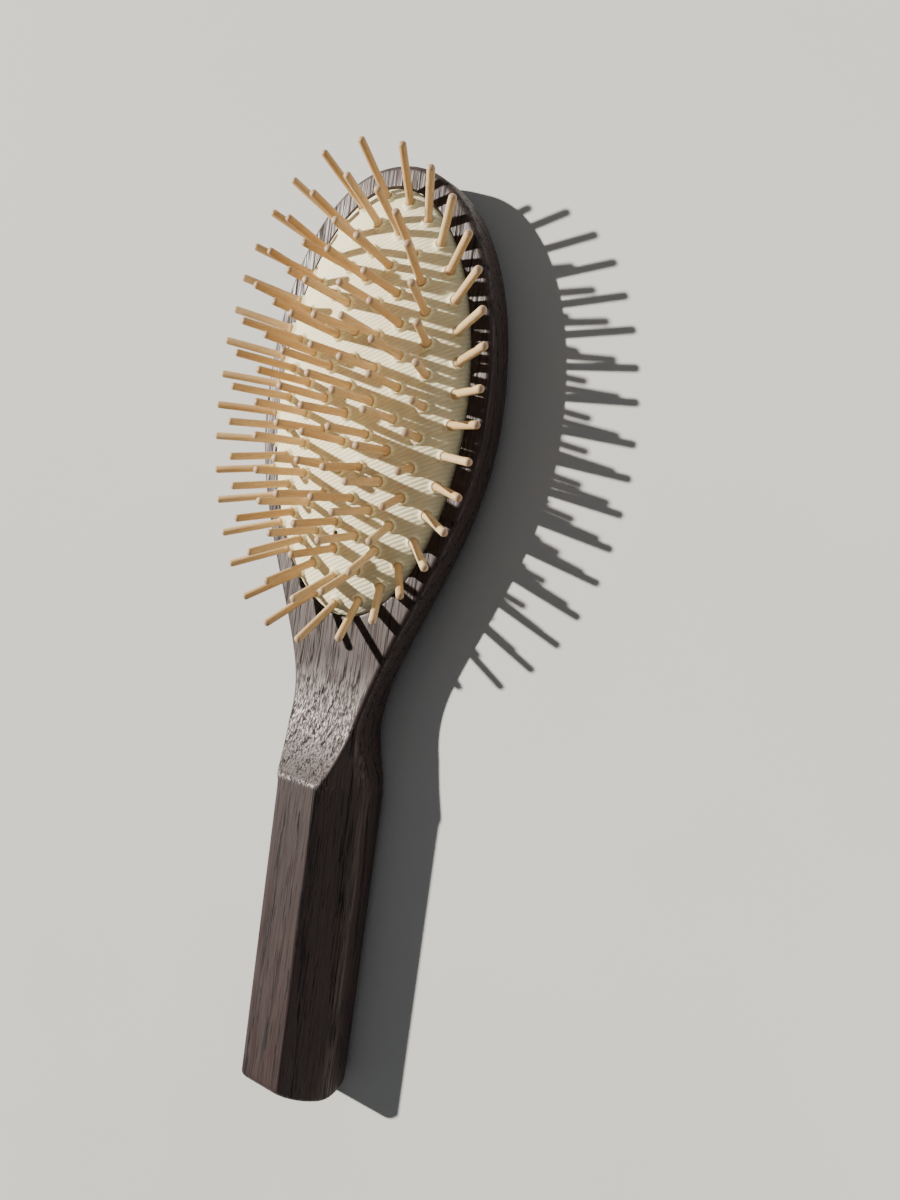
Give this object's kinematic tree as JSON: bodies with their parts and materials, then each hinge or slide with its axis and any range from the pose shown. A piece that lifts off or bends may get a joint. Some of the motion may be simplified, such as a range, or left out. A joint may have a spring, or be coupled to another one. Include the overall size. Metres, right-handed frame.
{
  "type": "oval cushion hairbrush",
  "caption": "Oval hairbrush with a dark one-piece wooden body, a domed cream rubber cushion and round pale wooden pins that rock and sink with the cushion.",
  "frame": {"origin": "on the flat back face, midway along the whole brush from the handle's end to the tip of the furthest pin, and midway across", "axes": "+Y along the brush from the handle to the head, +Z out of the cushion, the way the pins point, +X across the brush"},
  "size_m": [0.0826, 0.245, 0.0382],
  "materials": {
    "dark_wood": "open-pored dark brown hardwood with a satin oil finish",
    "cream_rubber": "matt cream rubber with fine slanted ribs",
    "pin_wood": "smooth pale turned hardwood, lightly waxed"
  },
  "bodies": {
    "brush_body": {"wooden_body": "dark_wood", "cushion": "cream_rubber"},
    "pin_bed": {"centre_pins": "pin_wood"},
    "row_01": {"pin_row_01": "pin_wood"},
    "row_02": {"pin_row_02": "pin_wood"},
    "row_03": {"pin_row_03": "pin_wood"},
    "row_04": {"pin_row_04": "pin_wood"},
    "row_05": {"pin_row_05": "pin_wood"},
    "row_06": {"pin_row_06": "pin_wood"},
    "row_07": {"pin_row_07": "pin_wood"},
    "row_08": {"pin_row_08": "pin_wood"},
    "row_09": {"pin_row_09": "pin_wood"},
    "row_10": {"pin_row_10": "pin_wood"},
    "row_11": {"pin_row_11": "pin_wood"},
    "row_12": {"pin_row_12": "pin_wood"},
    "row_13": {"pin_row_13": "pin_wood"},
    "row_14": {"pin_row_14": "pin_wood"},
    "row_15": {"pin_row_15": "pin_wood"},
    "row_16": {"pin_row_16": "pin_wood"},
    "row_17": {"pin_row_17": "pin_wood"},
    "row_18": {"pin_row_18": "pin_wood"},
    "row_19": {"pin_row_19": "pin_wood"}
  },
  "joints": [
    {"name": "cushion_press", "type": "slide", "parent": "brush_body", "child": "pin_bed", "axis": [0, 0, 1], "range_m": [-0.0025, 0], "stiffness_N_per_m": 2000, "deforming": ["cushion"]},
    {"name": "row_01_rock", "type": "hinge", "parent": "pin_bed", "child": "row_01", "pos_m": [0, 0.01188, 0.01508], "axis": [1, 0, 0], "range_deg": [-10, 10], "stiffness_Nm_per_rad": 0.05},
    {"name": "row_02_rock", "type": "hinge", "parent": "pin_bed", "child": "row_02", "pos_m": [0, 0.01829, 0.01639], "axis": [1, 0, 0], "range_deg": [-10, 10], "stiffness_Nm_per_rad": 0.05},
    {"name": "row_03_rock", "type": "hinge", "parent": "pin_bed", "child": "row_03", "pos_m": [0, 0.02416, 0.01676], "axis": [1, 0, 0], "range_deg": [-10, 10], "stiffness_Nm_per_rad": 0.05},
    {"name": "row_04_rock", "type": "hinge", "parent": "pin_bed", "child": "row_04", "pos_m": [0, 0.02928, 0.01741], "axis": [1, 0, 0], "range_deg": [-10, 10], "stiffness_Nm_per_rad": 0.05},
    {"name": "row_05_rock", "type": "hinge", "parent": "pin_bed", "child": "row_05", "pos_m": [0, 0.03445, 0.01736], "axis": [1, 0, 0], "range_deg": [-10, 10], "stiffness_Nm_per_rad": 0.05},
    {"name": "row_06_rock", "type": "hinge", "parent": "pin_bed", "child": "row_06", "pos_m": [0, 0.03984, 0.01911], "axis": [1, 0, 0], "range_deg": [-10, 10], "stiffness_Nm_per_rad": 0.05},
    {"name": "row_07_rock", "type": "hinge", "parent": "pin_bed", "child": "row_07", "pos_m": [0, 0.04509, 0.01785], "axis": [1, 0, 0], "range_deg": [-10, 10], "stiffness_Nm_per_rad": 0.05},
    {"name": "row_08_rock", "type": "hinge", "parent": "pin_bed", "child": "row_08", "pos_m": [0, 0.05026, 0.0174], "axis": [1, 0, 0], "range_deg": [-10, 10], "stiffness_Nm_per_rad": 0.05},
    {"name": "row_09_rock", "type": "hinge", "parent": "pin_bed", "child": "row_09", "pos_m": [0, 0.05577, 0.01842], "axis": [1, 0, 0], "range_deg": [-10, 10], "stiffness_Nm_per_rad": 0.05},
    {"name": "row_10_rock", "type": "hinge", "parent": "pin_bed", "child": "row_10", "pos_m": [0, 0.06154, 0.01944], "axis": [1, 0, 0], "range_deg": [-10, 10], "stiffness_Nm_per_rad": 0.05},
    {"name": "row_11_rock", "type": "hinge", "parent": "pin_bed", "child": "row_11", "pos_m": [0, 0.0673, 0.01842], "axis": [1, 0, 0], "range_deg": [-10, 10], "stiffness_Nm_per_rad": 0.05},
    {"name": "row_12_rock", "type": "hinge", "parent": "pin_bed", "child": "row_12", "pos_m": [0, 0.07282, 0.0174], "axis": [1, 0, 0], "range_deg": [-10, 10], "stiffness_Nm_per_rad": 0.05},
    {"name": "row_13_rock", "type": "hinge", "parent": "pin_bed", "child": "row_13", "pos_m": [0, 0.07798, 0.01785], "axis": [1, 0, 0], "range_deg": [-10, 10], "stiffness_Nm_per_rad": 0.05},
    {"name": "row_14_rock", "type": "hinge", "parent": "pin_bed", "child": "row_14", "pos_m": [0, 0.08323, 0.01911], "axis": [1, 0, 0], "range_deg": [-10, 10], "stiffness_Nm_per_rad": 0.05},
    {"name": "row_15_rock", "type": "hinge", "parent": "pin_bed", "child": "row_15", "pos_m": [0, 0.08862, 0.01736], "axis": [1, 0, 0], "range_deg": [-10, 10], "stiffness_Nm_per_rad": 0.05},
    {"name": "row_16_rock", "type": "hinge", "parent": "pin_bed", "child": "row_16", "pos_m": [0, 0.0938, 0.01741], "axis": [1, 0, 0], "range_deg": [-10, 10], "stiffness_Nm_per_rad": 0.05},
    {"name": "row_17_rock", "type": "hinge", "parent": "pin_bed", "child": "row_17", "pos_m": [0, 0.09891, 0.01676], "axis": [1, 0, 0], "range_deg": [-10, 10], "stiffness_Nm_per_rad": 0.05},
    {"name": "row_18_rock", "type": "hinge", "parent": "pin_bed", "child": "row_18", "pos_m": [0, 0.10479, 0.01639], "axis": [1, 0, 0], "range_deg": [-10, 10], "stiffness_Nm_per_rad": 0.05},
    {"name": "row_19_rock", "type": "hinge", "parent": "pin_bed", "child": "row_19", "pos_m": [0, 0.1112, 0.01508], "axis": [1, 0, 0], "range_deg": [-10, 10], "stiffness_Nm_per_rad": 0.05}
  ]
}
